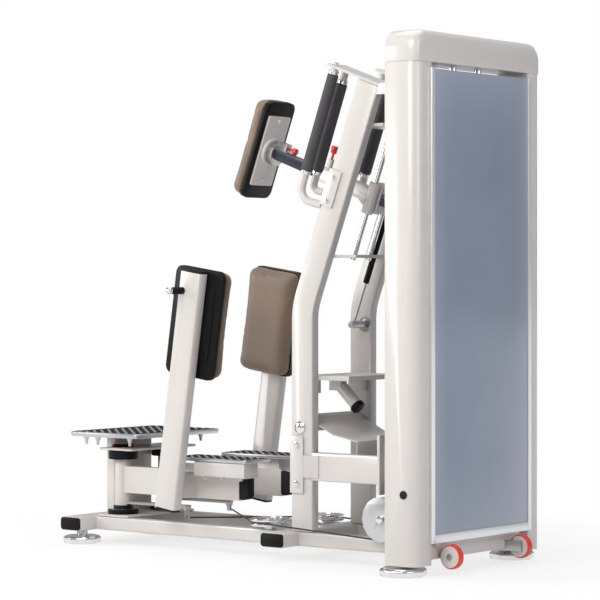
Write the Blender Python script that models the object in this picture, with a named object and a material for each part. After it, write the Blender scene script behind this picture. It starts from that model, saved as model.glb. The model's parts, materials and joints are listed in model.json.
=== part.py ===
"""Standing hip abductor machine.

The user climbs the rear step, stands on the two foot plates, leans on the chest pad and
pushes both thigh pads outwards. Each thigh pad stands on a lever arm that turns about an
upright pivot under the step and pulls a cable to the weight stack in the tower.

Metres, +Z up, +X towards the weight tower, near side at -Y, far side at +Y.
"""
import math
import bmesh
import bpy
from mathutils import Matrix, Vector

# Driving dimensions
GAP = 0.0003                 # clearance between pieces that touch
TURN_GAP = 0.0006            # clearance between pieces that turn or slide on each other
CENTRE_X = 0.8245             # middle of the machine's length, which becomes the origin

TUBE_DEEP = 0.093            # the long side of the columns' section
TUBE_CORNER = 0.010
RAIL_LOW = 0.050             # underside of the base rails
RAIL_HIGH = 0.100            # top of the base rails
RAIL_INNER = 0.150           # inner face of rails and columns, from the centre plane
RAIL_OUTER = 0.190

REAR_X = (-0.037, 0.061)     # the two cross tubes along X
MID_X = (0.911, 1.012)
CROSS_REACH = 0.275
CAP_THICK = 0.006

FOOT_HEIGHT = 0.028
REAR_FOOT_Y = 0.215
FRONT_FOOT_X = 1.552
FRONT_FOOT_IN = 0.051         # from the tower's side to the middle of its foot

BASE_TOP = 0.108             # top of the plate under the pivots
STEP_COLUMN_X = (0.031, 0.075)
STEP_X = (-0.034, 0.302)
STEP_HALF = 0.239
STEP_LOW = 0.395
STEP_THICK = 0.017

PIVOT_X = 0.130
PIVOT_Y = 0.120
SHAFT_RADIUS = 0.015
SLEEVE_RADIUS = 0.030
SLEEVE_LOW = 0.1403
SLEEVE_HIGH = 0.3097
HUB_LOW = 0.3453

BEAM_LOW = 0.187
BEAM_HIGH = 0.285
BEAM_END_X = 0.700
LEVER_REACH = 0.311
LEVER_LOW = 0.146
LEVER_STUD = {"near": 0.107, "far": 0.119}

POST_TILT = math.radians(8.4)
POST_DEEP = 0.095
POST_WIDE = 0.045
POST_INNER = 0.240           # the post's inner face, from the centre plane
POST_FOOT_X = 0.472          # the post's centre at its foot
POST_LOW = 0.158
POST_HIGH = 1.000

PAD_LONG = 0.390
PAD_WIDE = 0.225
PAD_X = 0.572
PAD_Z = 0.821
PAD_BOARD = 0.018
PAD_FOAM = 0.052
PAD_PLATE = 0.007
PIN_X = 0.560
PIN_Z = 0.935

TREAD_X = (0.445, 0.790)
TREAD_Y = (0.062, 0.212)
TREAD_TOP = 0.338
TREAD_THICK = 0.012

COLUMN_X = 1.0225            # centre of the upright stretch
COLUMN_BEND_Z = 0.877
COLUMN_TILT = math.radians(20.4)
COLUMN_TOP = 1.645           # centre of the slanted end
GUIDE_ROD_Y = 0.045
GUIDE_ROD_RADIUS = 0.010
GUIDE_LOW_Z = 1.060
GUIDE_HIGH_Z = 1.507

BEAM_MID_LOW = 0.280
BEAM_MID_HIGH = 0.377

CARRIAGE_LONG = 0.110
RECEIVER_LONG = 0.272        # from the guide rods' plane to the mouth of the receiver
ARM_SIDE = 0.038             # side of the chest arm's square tube
STRUT_RADIUS = 0.011
STRUT_ROD_RADIUS = 0.005
STRUT_FOOT = (1.045, 0.080, 0.815)
STRUT_LOW = 0.157
STRUT_TOP = 0.470

GRIP_RADIUS = 0.019
HANDLE_RADIUS = 0.014
GRIP_LOW = (1.030, 1.354)
GRIP_HIGH = (1.147, 1.680)
GRIP_OUTER_Y = 0.172
GRIP_INNER_Y = 0.108
HANDLE_PLATE_THICK = 0.008

SWIVEL_X = 0.762             # centre of the swivel, on the chest arm's line
SWIVEL_Z = 1.4247
CHEST_LONG = 0.360
CHEST_WIDE = 0.160
CHEST_BOARD = 0.018
CHEST_FOAM = 0.050

TOWER_REAR = 1.514
TOWER_FRONT = 1.641
TOWER_HALF = 0.376
TOWER_SIDE = 0.086           # a side column's width
TOWER_LOW = 0.037
HOOD_LOW = 1.689
TOWER_HIGH = 1.795
SHIELD_HALF = 0.281
TRIM_WIDE = 0.019
SHIELD_FRONT = 1.650
SHIELD_LOW = 0.137
SHIELD_HIGH = 1.668
SILL_HIGH = 0.108

STACK_X = 1.578
STACK_DEEP = 0.100
STACK_HALF = 0.160
PLATE_THICK = 0.029
PLATE_PITCH = 0.030
STACK_LOW = 0.140
LOWER_PLATES = 10
UPPER_PLATES = 5
STACK_ROD_Y = 0.075
STACK_ROD_RADIUS = 0.012
ROD_HOLE = 0.0128
STEM_RADIUS = 0.012
STEM_HOLE = 0.0135

CABLE_RADIUS = 0.003
CABLE_Y = 0.223              # cable's distance from the centre plane
CABLE_UP_X = 1.461
PULLEY_X = 0.857
PULLEY_Y = 0.158
PULLEY_RADIUS = 0.065
PULLEY_THICK = 0.012
PULLEY_Z = {"near": 0.124, "far": 0.112}
BASE_PULLEY_X = 1.390
BASE_PULLEY_Z = 0.168
BASE_PULLEY_RADIUS = 0.071
TOP_PULLEY_Z = 1.520

WHEEL_X = 1.666
WHEEL_Y = 0.208
WHEEL_Z = 0.060
WHEEL_RADIUS = 0.041
WHEEL_WIDE = 0.028

SIDES = (("near", -1), ("far", 1))

# Materials, as colour, roughness and metallic
FINISHES = {
    "frame_white": ((0.78, 0.765, 0.735), 0.35, 0.0),
    "black_plastic": ((0.02, 0.02, 0.022), 0.45, 0.0),
    "black_rubber": ((0.03, 0.03, 0.032), 0.8, 0.0),
    "chrome": ((0.8, 0.8, 0.82), 0.12, 1.0),
    "steel": ((0.55, 0.55, 0.56), 0.35, 1.0),
    "aluminium": ((0.75, 0.75, 0.76), 0.3, 1.0),
    "tan_leather": ((0.36, 0.27, 0.20), 0.5, 0.0),
    "grip_rubber": ((0.09, 0.09, 0.105), 0.7, 0.0),
    "bar_blue_grey": ((0.10, 0.12, 0.17), 0.35, 0.3),
    "shield_blue": ((0.25, 0.29, 0.38), 0.25, 0.0),
    "wheel_red": ((0.75, 0.05, 0.04), 0.4, 0.0),
    "plate_black": ((0.03, 0.03, 0.03), 0.5, 0.5),
}


def clear_scene():
    for item in list(bpy.data.objects):
        bpy.data.objects.remove(item)


def finish(name):
    """The material of that name, made once."""
    if name in bpy.data.materials:
        return bpy.data.materials[name]
    colour, rough, metal = FINISHES[name]
    material = bpy.data.materials.new(name)
    material.use_nodes = True
    shader = material.node_tree.nodes["Principled BSDF"]
    shader.inputs["Base Color"].default_value = (*colour, 1.0)
    shader.inputs["Roughness"].default_value = rough
    shader.inputs["Metallic"].default_value = metal
    return material


clear_scene()
MACHINE = bpy.data.objects.new("machine", None)
bpy.context.collection.objects.link(MACHINE)
MACHINE.location = (-CENTRE_X, 0, 0)


def place(name, shape, material):
    """Turn a bmesh into a named object, or join it to the object of that name."""
    bmesh.ops.recalc_face_normals(shape, faces=shape.faces)
    whole = bpy.data.objects.get(name)
    mesh = bpy.data.meshes.new(name)
    shape.to_mesh(mesh)
    shape.free()
    mesh.shade_smooth()
    mesh.set_sharp_from_angle(angle=math.radians(35))
    mesh.materials.append(finish(material))
    piece = bpy.data.objects.new(name, mesh)
    bpy.context.collection.objects.link(piece)
    piece.parent = MACHINE
    if whole is not None:
        combine(whole, piece, 'UNION')
    return piece


def combine(whole, tool, operation):
    """Join a hidden shape to a piece, or cut it out."""
    tool.name = whole.name + "_" + operation.lower() + "_" + str(len(whole.modifiers))
    tool.hide_render = True
    tool.display_type = 'WIRE'
    boolean = whole.modifiers.new(operation.lower() + "_" + str(len(whole.modifiers)), 'BOOLEAN')
    boolean.operation = operation
    boolean.solver = 'EXACT'
    boolean.object = tool


def move_origin(name, where):
    """Put a piece's origin on its joint axis, with its mesh left in place."""
    piece = bpy.data.objects[name]
    piece.data.transform(Matrix.Translation(-Vector(where)))
    piece.location = where


def rounded(width, height, radius, steps=2):
    """Corners of a rounded rectangle round the origin, anticlockwise."""
    if radius <= 0:
        return [(width / 2, -height / 2), (width / 2, height / 2),
                (-width / 2, height / 2), (-width / 2, -height / 2)]
    points = []
    for corner, (sx, sy) in enumerate(((1, -1), (1, 1), (-1, 1), (-1, -1))):
        cx = sx * (width / 2 - radius)
        cy = sy * (height / 2 - radius)
        for step in range(steps + 1):
            angle = math.radians(90 * (corner - 1 + step / steps))
            points.append((cx + radius * math.cos(angle), cy + radius * math.sin(angle)))
    return points


def circle(radius, count=24):
    return [(radius * math.cos(2 * math.pi * i / count), radius * math.sin(2 * math.pi * i / count))
            for i in range(count)]


def frame_for(direction):
    """A turn that takes +Z to the direction, keeping +Y in its own plane where it can."""
    z = Vector(direction).normalized()
    y = Vector((0, 1, 0)) if abs(z.y) < 0.9 else Vector((0, 0, 1))
    x = y.cross(z).normalized()
    y = z.cross(x)
    return Matrix((x, y, z)).transposed().to_4x4()


def add_prism(shape, outline, length, where, direction=(0, 0, 1), ease=0.0):
    """Extrude an outline from a place along a direction, with its two ends' edges eased."""
    turn = Matrix.Translation(Vector(where)) @ frame_for(direction)
    layers = [(0.0, 0.0), (length, 0.0)]
    if ease:
        layers = [(0.0, ease), (ease, 0.0), (length - ease, 0.0), (length, ease)]
    half_w = max(p[0] for p in outline) - min(p[0] for p in outline)
    half_h = max(p[1] for p in outline) - min(p[1] for p in outline)
    mid_x = (max(p[0] for p in outline) + min(p[0] for p in outline)) / 2
    mid_y = (max(p[1] for p in outline) + min(p[1] for p in outline)) / 2
    rings = []
    for level, inset in layers:
        sx = 1 - 2 * inset / half_w
        sy = 1 - 2 * inset / half_h
        rings.append([shape.verts.new(turn @ Vector((mid_x + (px - mid_x) * sx,
                                                     mid_y + (py - mid_y) * sy, level)))
                      for px, py in outline])
    for low, high in zip(rings, rings[1:]):
        for i in range(len(low)):
            j = (i + 1) % len(low)
            shape.faces.new((low[i], low[j], high[j], high[i]))
    shape.faces.new(list(reversed(rings[0])))
    shape.faces.new(rings[-1])


def add_box(shape, low, high, corner=0.0, axis="z", ease=0.0, steps=2):
    """A block between two corners, rounded round one axis."""
    low, high = Vector(low), Vector(high)
    size = high - low
    mid = (low + high) / 2
    if axis == "z":
        outline, length = rounded(size.x, size.y, corner, steps), size.z
        add_prism(shape, outline, length, (mid.x, mid.y, low.z), (0, 0, 1), ease)
    elif axis == "x":
        outline, length = rounded(size.z, size.y, corner, steps), size.x
        add_prism(shape, outline, length, (low.x, mid.y, mid.z), (1, 0, 0), ease)
    else:
        outline, length = rounded(size.x, size.z, corner, steps), size.y
        add_prism(shape, outline, length, (mid.x, low.y, mid.z), (0, 1, 0), ease)


def add_turned(shape, profile, where, direction=(0, 0, 1), count=24):
    """Turn a closed profile of radius and height pairs about a direction."""
    turn = Matrix.Translation(Vector(where)) @ frame_for(direction)
    rings = []
    for radius, level in profile:
        if radius <= 0:
            rings.append([shape.verts.new(turn @ Vector((0, 0, level)))])
            continue
        rings.append([shape.verts.new(turn @ Vector((x, y, level))) for x, y in circle(radius, count)])
    closed = len(rings[0]) > 1 and len(rings[-1]) > 1
    pairs = list(zip(rings, rings[1:]))
    if closed:
        pairs.append((rings[-1], rings[0]))
    for low, high in pairs:
        for i in range(count):
            j = (i + 1) % count
            if len(low) == 1:
                shape.faces.new((low[0], high[j], high[i]))
            elif len(high) == 1:
                shape.faces.new((low[i], low[j], high[0]))
            else:
                shape.faces.new((low[i], low[j], high[j], high[i]))


def rod_profile(radius, length, ease=0.0):
    """A plain rod's half section, with or without eased ends."""
    if not ease:
        return [(0, 0), (radius, 0), (radius, length), (0, length)]
    return [(0, 0), (radius - ease, 0), (radius, ease), (radius, length - ease), (radius - ease, length),
            (0, length)]


def ring_profile(inner, outer, low, high, ease=0.0):
    """A ring's section, closed round its wall."""
    if not ease:
        return [(inner, low), (outer, low), (outer, high), (inner, high)]
    return [(inner, low), (outer - ease, low), (outer, low + ease), (outer, high - ease),
            (outer - ease, high), (inner, high)]


def add_tube_path(shape, points, radius, count=12):
    """A round bar that follows points, with flat ends square to the path."""
    path = [Vector(p) for p in points]
    rings = []
    side = None
    for i, point in enumerate(path):
        before = path[max(i - 1, 0)]
        after = path[min(i + 1, len(path) - 1)]
        tangent = (after - before).normalized()
        if side is None:
            side = tangent.orthogonal().normalized()
        side = (side - tangent * side.dot(tangent)).normalized()
        up = tangent.cross(side)
        rings.append([shape.verts.new(point + side * x + up * y) for x, y in circle(radius, count)])
    for low, high in zip(rings, rings[1:]):
        for i in range(count):
            j = (i + 1) % count
            shape.faces.new((low[i], low[j], high[j], high[i]))
    shape.faces.new(list(reversed(rings[0])))
    shape.faces.new(rings[-1])


def add_sheet(shape, outline, low_y, high_y):
    """Extrude an outline drawn in X and Z along Y."""
    near = [shape.verts.new((x, low_y, z)) for x, z in outline]
    far = [shape.verts.new((x, high_y, z)) for x, z in outline]
    for i in range(len(outline)):
        j = (i + 1) % len(outline)
        shape.faces.new((near[i], near[j], far[j], far[i]))
    shape.faces.new(list(reversed(near)))
    shape.faces.new(far)


def bend(points, radius, steps=4):
    """A path with its inner corners replaced by arcs."""
    path = [Vector(p) for p in points]
    result = [path[0]]
    for before, corner, after in zip(path, path[1:], path[2:]):
        a = (before - corner).normalized()
        b = (after - corner).normalized()
        half = a.angle(b) / 2
        back = radius / math.tan(half)
        centre = corner + (a + b).normalized() * (radius / math.sin(half))
        start = corner + a * back - centre
        end = corner + b * back - centre
        sweep = start.angle(end)
        for step in range(steps + 1):
            t = step / steps
            blend = start * math.sin((1 - t) * sweep) + end * math.sin(t * sweep)
            result.append(centre + blend / math.sin(sweep))
    result.append(path[-1])
    return result


def cut(piece, cutters):
    """Take closed cutter shapes out of a piece with Boolean modifiers."""
    for index, cutter_shape in enumerate(cutters):
        combine(piece, place(piece.name + "_cutter", cutter_shape, "steel"), 'DIFFERENCE')


def side_span(side, inner, outer):
    """Y limits of a piece between two distances from the centre plane."""
    return (inner, outer) if side > 0 else (-outer, -inner)


# The slanted directions of the columns and of the posts
UP_COLUMN = Vector((math.sin(COLUMN_TILT), 0, math.cos(COLUMN_TILT)))
OUT_COLUMN = Vector((math.cos(COLUMN_TILT), 0, -math.sin(COLUMN_TILT)))
UP_POST = Vector((math.sin(POST_TILT), 0, math.cos(POST_TILT)))


def column_centre(z):
    """X of a column's centre line at a height."""
    return COLUMN_X + max(0.0, z - COLUMN_BEND_Z) * math.tan(COLUMN_TILT)


def guide_x(z):
    """X of the guide rods at a height."""
    return 1.142 + (z - 1.060) * math.tan(COLUMN_TILT)


def strut_point(distance):
    return Vector(STRUT_FOOT) + UP_COLUMN * distance


def swivel_centre():
    return Vector((SWIVEL_X, 0, SWIVEL_Z))


def carriage_centre():
    """Where the chest arm's line meets the plane of the guide rods."""
    foot = Vector((guide_x(GUIDE_LOW_Z), 0, GUIDE_LOW_Z))
    return swivel_centre() + OUT_COLUMN * (foot - swivel_centre()).dot(OUT_COLUMN)


# Points on the joint axes, which become the moving pieces' origins
ORIGINS = {
    "near_swing_arm": (PIVOT_X, -PIVOT_Y, BEAM_LOW),
    "far_swing_arm": (PIVOT_X, PIVOT_Y, BEAM_LOW),
    "near_guide_pulley": (PULLEY_X, -PULLEY_Y, PULLEY_Z["near"]),
    "far_guide_pulley": (PULLEY_X, PULLEY_Y, PULLEY_Z["far"]),
    "near_base_pulley": (BASE_PULLEY_X, -CABLE_Y, BASE_PULLEY_Z),
    "far_base_pulley": (BASE_PULLEY_X, CABLE_Y, BASE_PULLEY_Z),
    "near_top_pulley": ((STACK_X + CABLE_UP_X) / 2, -CABLE_Y, TOP_PULLEY_Z),
    "far_top_pulley": ((STACK_X + CABLE_UP_X) / 2, CABLE_Y, TOP_PULLEY_Z),
    "near_wheel": (WHEEL_X, -WHEEL_Y, WHEEL_Z),
    "far_wheel": (WHEEL_X, WHEEL_Y, WHEEL_Z),
    "swivel_plate": (SWIVEL_X, 0, SWIVEL_Z),
    "chest_board": (SWIVEL_X, 0, SWIVEL_Z),
    "chest_cushion": (SWIVEL_X, 0, SWIVEL_Z),
}


def block(name, material, low, high, corner=0.0, axis="z", ease=0.0, side=0, steps=2):
    """Add a block to a node. With a side, its Y limits are distances from the centre plane."""
    low, high = list(low), list(high)
    if side:
        low[1], high[1] = side_span(side, low[1], high[1])
    shape = bmesh.new()
    add_box(shape, low, high, corner, axis, ease, steps)
    return place(name, shape, material)


def turned(name, material, profile, where, direction=(0, 0, 1), count=12):
    shape = bmesh.new()
    add_turned(shape, profile, where, direction, count)
    return place(name, shape, material)


def sheet(name, material, outline, inner, outer, side=0):
    """Add an outline in X and Z between two Y limits, or two distances on one side."""
    if side:
        inner, outer = side_span(side, inner, outer)
    shape = bmesh.new()
    add_sheet(shape, outline, inner, outer)
    return place(name, shape, material)


def plan(name, material, outline, low, high):
    """Add an outline in X and Y between two heights."""
    shape = bmesh.new()
    bottom = [shape.verts.new((x, y, low)) for x, y in outline]
    top = [shape.verts.new((x, y, high)) for x, y in outline]
    for i in range(len(outline)):
        j = (i + 1) % len(outline)
        shape.faces.new((bottom[i], bottom[j], top[j], top[i]))
    shape.faces.new(list(reversed(bottom)))
    shape.faces.new(top)
    return place(name, shape, material)


def loft(name, material, turn, rings):
    shape = bmesh.new()
    add_lofted(shape, turn, rings)
    return place(name, shape, material)


def bolt(name, material, radius, where, direction, tall=0.006):
    """A six-sided bolt head on a face."""
    return turned(name, material, rod_profile(radius, tall), where, direction, 6)


# Base frame
def base_frame():
    frame = "base_frame"
    paint = "frame_white"
    for ends in (REAR_X, MID_X):
        block(frame, paint, (ends[0], -CROSS_REACH, RAIL_LOW), (ends[1], CROSS_REACH, RAIL_HIGH),
              TUBE_CORNER, "y")
        reach = CROSS_REACH + CAP_THICK
        block(frame, paint, (ends[0] + 0.002, -reach, RAIL_LOW + 0.002),
              (ends[1] - 0.002, reach, RAIL_HIGH - 0.002),
              TUBE_CORNER, "y")
    for name, side in SIDES:
        block(frame, paint, (REAR_X[1] - 0.010, RAIL_INNER, RAIL_LOW + 0.0005),
              (TOWER_REAR - GAP, RAIL_OUTER, RAIL_HIGH - 0.0005), 0.006, "x", side=side)
        for which, x, y, radius, under in (("rear", 0.012, REAR_FOOT_Y, 0.070, RAIL_LOW),
                                           ("front", FRONT_FOOT_X, TOWER_HALF - FRONT_FOOT_IN, 0.080,
                                            TOWER_LOW)):
            profile = [(0, 0), (radius - 0.006, 0), (radius, 0.006), (radius, FOOT_HEIGHT - 0.008),
                       (radius - 0.008, FOOT_HEIGHT), (0.020, FOOT_HEIGHT), (0.020, under - GAP),
                       (0, under - GAP)]
            turned(name + "_" + which + "_foot", "chrome", profile, (x, side * y, 0), count=8)


# Rear step, its column and the two pivots
def pivots():
    top = RAIL_HIGH + GAP
    block("pivot_frame", "frame_white", (STEP_COLUMN_X[0], -0.105, top),
          (STEP_COLUMN_X[1], 0.105, STEP_LOW - GAP),
          0.008, "z")
    block("pivot_frame", "frame_white", (STEP_COLUMN_X[1] - 0.010, -RAIL_OUTER, top + 0.0005),
          (0.215, RAIL_OUTER, BASE_TOP),
          0.008, "z")
    block("pivot_frame", "frame_white", (STEP_COLUMN_X[1] - 0.010, -0.185, HUB_LOW),
          (0.230, 0.185, HUB_LOW + 0.008),
          0.014, "z")
    block("step_plate", "aluminium", (STEP_X[0], -STEP_HALF, STEP_LOW),
          (STEP_X[1], STEP_HALF, STEP_LOW + STEP_THICK),
          0.022, "z", 0.003)
    stud = [(0, -0.030), (0.005, -0.030), (0.006, -0.018), (0.014, 0.003), (0, 0.003)]
    for x, y in ((0.020, -0.200), (0.090, -0.215), (0.235, -0.200), (0.255, 0.0), (0.235, 0.200),
                 (0.090, 0.215)):
        turned("step_plate", "aluminium", stud, (x, y, STEP_LOW), count=6)
    for name, side in SIDES:
        y = side * PIVOT_Y
        floor = BASE_TOP + GAP
        step = SLEEVE_LOW - TURN_GAP - floor
        turned(name + "_pivot_axle", "steel",
               [(0, 0), (0.057, 0), (0.057, 0.014), (0.052, 0.018), (0.036, 0.018), (0.036, step),
                (SHAFT_RADIUS, step), (SHAFT_RADIUS, HUB_LOW - GAP - floor), (0, HUB_LOW - GAP - floor)],
               (PIVOT_X, y, floor), count=20)
        low = SLEEVE_HIGH + TURN_GAP
        turned("pivot_frame", "frame_white",
               [(SHAFT_RADIUS + GAP, 0), (0.052, 0), (0.055, 0.003), (0.055, HUB_LOW - low + 0.002),
                (SHAFT_RADIUS + GAP, HUB_LOW - low + 0.002)], (PIVOT_X, y, low), count=20)


# The two swing arms with their levers, foot plates and pad posts
def swing_arms():
    inside = PIVOT_X + 0.0185
    for name, side in SIDES:
        y = side * PIVOT_Y
        arm = name + "_swing_arm"
        turned(arm, "frame_white",
               ring_profile(SHAFT_RADIUS + TURN_GAP, SLEEVE_RADIUS, 0, SLEEVE_HIGH - SLEEVE_LOW),
               (PIVOT_X, y, SLEEVE_LOW), count=20)
        block(arm, "frame_white", (inside, PIVOT_Y - 0.0193, BEAM_LOW),
              (BEAM_END_X, PIVOT_Y + 0.0193, BEAM_HIGH),
              side=side)
        tip = PIVOT_X + LEVER_REACH + 0.014
        plan(arm, "frame_white", [(inside, y - 0.015), (tip - 0.008, y - 0.015), (tip, y - 0.007),
                                  (tip, y + 0.007), (tip - 0.008, y + 0.015), (inside, y + 0.015)],
             LEVER_LOW, LEVER_LOW + 0.010)
        stud = LEVER_STUD[name]
        turned(arm, "frame_white",
               [(0, stud), (0.009, stud), (0.009, LEVER_LOW - 0.008), (0.013, LEVER_LOW - 0.008),
                (0.013, LEVER_LOW + 0.003), (0, LEVER_LOW + 0.003)], (PIVOT_X + LEVER_REACH, y, 0), count=12)
        block(arm, "frame_white", (0.425, PIVOT_Y + 0.010, BEAM_LOW + 0.003),
              (0.505, POST_INNER + 0.006, BEAM_HIGH - 0.003),
              0.006, "y", side=side)
        # Bumper on the beam's end
        block(arm, "frame_white", (BEAM_END_X - 0.006, PIVOT_Y - 0.018, BEAM_LOW + 0.004),
              (BEAM_END_X + 0.040, PIVOT_Y + 0.018, BEAM_HIGH - 0.004), 0.016, "y", side=side)

        plate = name + "_foot_plate"
        low = TREAD_TOP - TREAD_THICK
        block(plate, "aluminium", (TREAD_X[0], TREAD_Y[0], low), (TREAD_X[1], TREAD_Y[1], TREAD_TOP), 0.014,
              "z", 0.002,
              side=side)
        block(arm, "frame_white", (0.545, PIVOT_Y - 0.017, BEAM_HIGH - 0.006),
              (0.690, PIVOT_Y + 0.017, low - GAP),
              0.004, "x", side=side)
        block(arm, "frame_white", (0.549, PIVOT_Y + 0.010, 0.272),
              (0.780, TREAD_Y[1] - 0.004, low - GAP - 0.0005),
              0.006, "x", side=side)
        for x in (0.580, 0.662, 0.745):
            bolt(arm, "frame_white", 0.009, (x, side * 0.185, 0.275), (0, 0, -1), 0.013)

        run = (POST_HIGH - POST_LOW) / math.cos(POST_TILT)
        mid_y = side * (POST_INNER + POST_WIDE / 2)
        foot = Vector((POST_FOOT_X, mid_y, POST_LOW))
        shape = bmesh.new()
        add_prism(shape, rounded(POST_DEEP, POST_WIDE, TUBE_CORNER), run, foot, UP_POST)
        place(arm, shape, "frame_white")
        for end, way in ((foot + UP_POST * 0.004, -UP_POST), (foot + UP_POST * (run - 0.004), UP_POST)):
            shape = bmesh.new()
            add_prism(shape, rounded(POST_DEEP - 0.002, POST_WIDE - 0.002, TUBE_CORNER - 0.001), 0.012, end,
                      way, 0.002)
            place(arm, shape, "frame_white")


# Thigh pads: plate, board and cushion, with the pull pin that holds their height
def thigh_pads():
    centre = Vector((PAD_X, 0, PAD_Z))
    for name, side in SIDES:
        outward = Vector((0, side, 0))
        plate_in = POST_INNER - TURN_GAP - PAD_PLATE
        shape = bmesh.new()
        add_slab(shape, 0.262, 0.150, PAD_PLATE, 0.010, centre + Vector((0.008, 0, 0)) + outward * plate_in,
                 side)
        place(name + "_pad_board", shape, "black_plastic")
        board_in = plate_in + 0.002 - PAD_BOARD
        shape = bmesh.new()
        add_slab(shape, PAD_LONG, PAD_WIDE, PAD_BOARD, 0.028, centre + outward * board_in, side, 0.003)
        place(name + "_pad_board", shape, "black_plastic")
        shape = bmesh.new()
        add_lofted(shape, Matrix.Translation(centre + outward * (board_in - GAP)) @ slab_frame(-side),
                   cushion_rings(PAD_LONG - 0.004, PAD_WIDE - 0.004, PAD_FOAM, 0.032))
        place(name + "_pad_cushion", shape, "tan_leather")
        for along in (-0.110, 0.110):
            where = centre + UP_POST * along + Vector((0.062, 0,
                                                       0)) + outward * (plate_in + PAD_PLATE - 0.002)
            bolt(name + "_pad_board", "black_plastic", 0.007, where, outward, 0.005)
        base = Vector((PIN_X, side * (POST_INNER + POST_WIDE + GAP), PIN_Z))
        turned(name + "_swing_arm", "frame_white", rod_profile(0.013, 0.054), base - outward * 0.004,
               outward, 12)
        ball = [(0, 0), (0.006, 0.0), (0.006, 0.008)]
        ball += [(0.014 * math.sin(math.radians(a)), 0.020 - 0.014 * math.cos(math.radians(a)))
                 for a in (35, 65, 90, 120, 150)] + [(0, 0.034)]
        turned(name + "_pad_pin", "chrome", ball, base + outward * (0.050 + GAP), outward, 12)


def slab_frame(side):
    """Turn that lays a slab's long side along the post and its depth along Y."""
    z = Vector((0, side, 0))
    x = UP_POST
    y = z.cross(x)
    return Matrix((x, y, z)).transposed().to_4x4()


def add_slab(shape, length, width, depth, corner, where, side, ease=0.001):
    add_lofted(shape, Matrix.Translation(where) @ slab_frame(side),
               [(rounded(length - 2 * ease, width - 2 * ease, corner - ease, 4), 0.0),
                (rounded(length, width, corner, 4), ease),
                (rounded(length, width, corner, 4), depth - ease),
                (rounded(length - 2 * ease, width - 2 * ease, corner - ease, 4), depth)])


def cushion_rings(length, width, depth, corner):
    """Rings of a padded form: a straight sewn edge, a drawn-in side and a crowned face."""
    rings = []
    for inset, level in ((0.002, 0.0), (0.0, 0.10), (0.0, 0.45), (0.004, 0.68), (0.012, 0.86), (0.026, 0.95),
                         (0.050, 1.0)):
        radius = max(corner - inset, 0.010)
        rings.append((rounded(length - 2 * inset, width - 2 * inset, radius, 4), depth * level))
    return rings


def add_lofted(shape, turn, rings):
    """Join rings of equal count, each an outline at a level, and close both ends."""
    made = [[shape.verts.new(turn @ Vector((x, y, level))) for x, y in outline] for outline, level in rings]
    for low, high in zip(made, made[1:]):
        for i in range(len(low)):
            j = (i + 1) % len(low)
            shape.faces.new((low[i], low[j], high[j], high[i]))
    shape.faces.new(list(reversed(made[0])))
    shape.faces.new(made[-1])


def slanted(where, along_bar=False):
    """Turn whose Z runs up the columns, or down along the chest arm."""
    z = OUT_COLUMN if along_bar else UP_COLUMN
    y = Vector((0, 1, 0))
    x = y.cross(z)
    return Matrix.Translation(where) @ Matrix((x, y, z)).transposed().to_4x4()


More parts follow.
